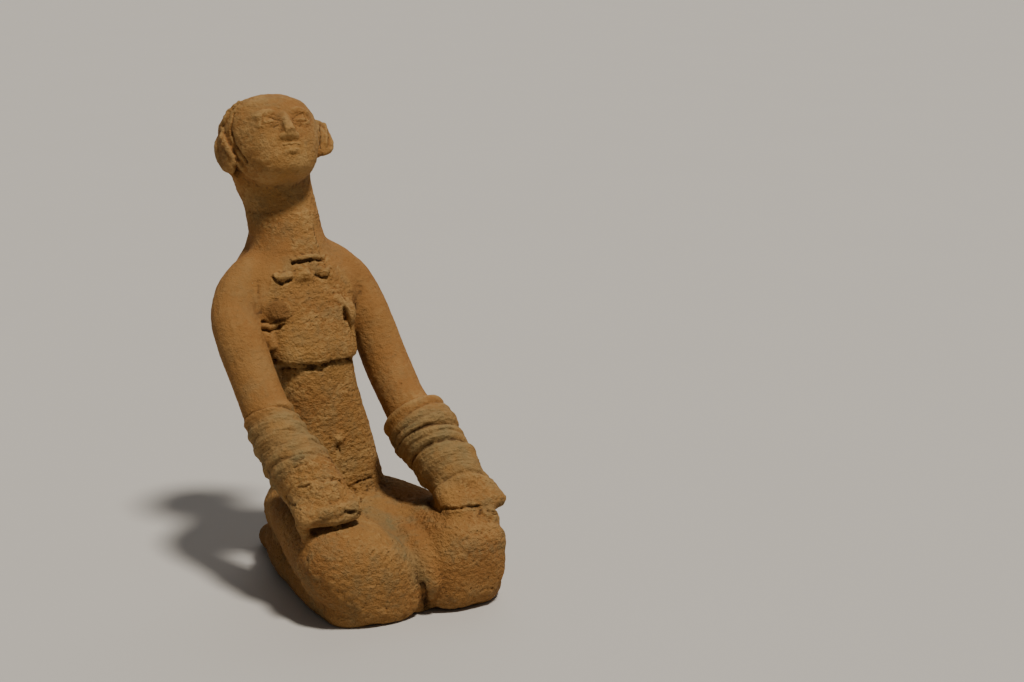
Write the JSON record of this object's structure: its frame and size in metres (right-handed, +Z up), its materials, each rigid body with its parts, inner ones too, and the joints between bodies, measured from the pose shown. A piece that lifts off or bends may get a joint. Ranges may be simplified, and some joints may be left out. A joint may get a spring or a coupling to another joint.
{
  "type": "kneeling terracotta figure",
  "caption": "Kneeling terracotta figure with raised face, long leaning body, banded forearms and hands resting on its knees",
  "frame": {"origin": "centre of the bounding box's bottom, on the surface that the figure stands on", "axes": "+Z up, +X towards the figure's left, -Y is the way the figure faces"},
  "size_m": [0.2248, 0.307, 0.455],
  "materials": {
    "fired_clay": "rough unglazed fired clay, ochre to orange brown, with grey green patina in places"
  },
  "bodies": {
    "root": {"kneeling_figure": "fired_clay"}
  },
  "joints": []
}
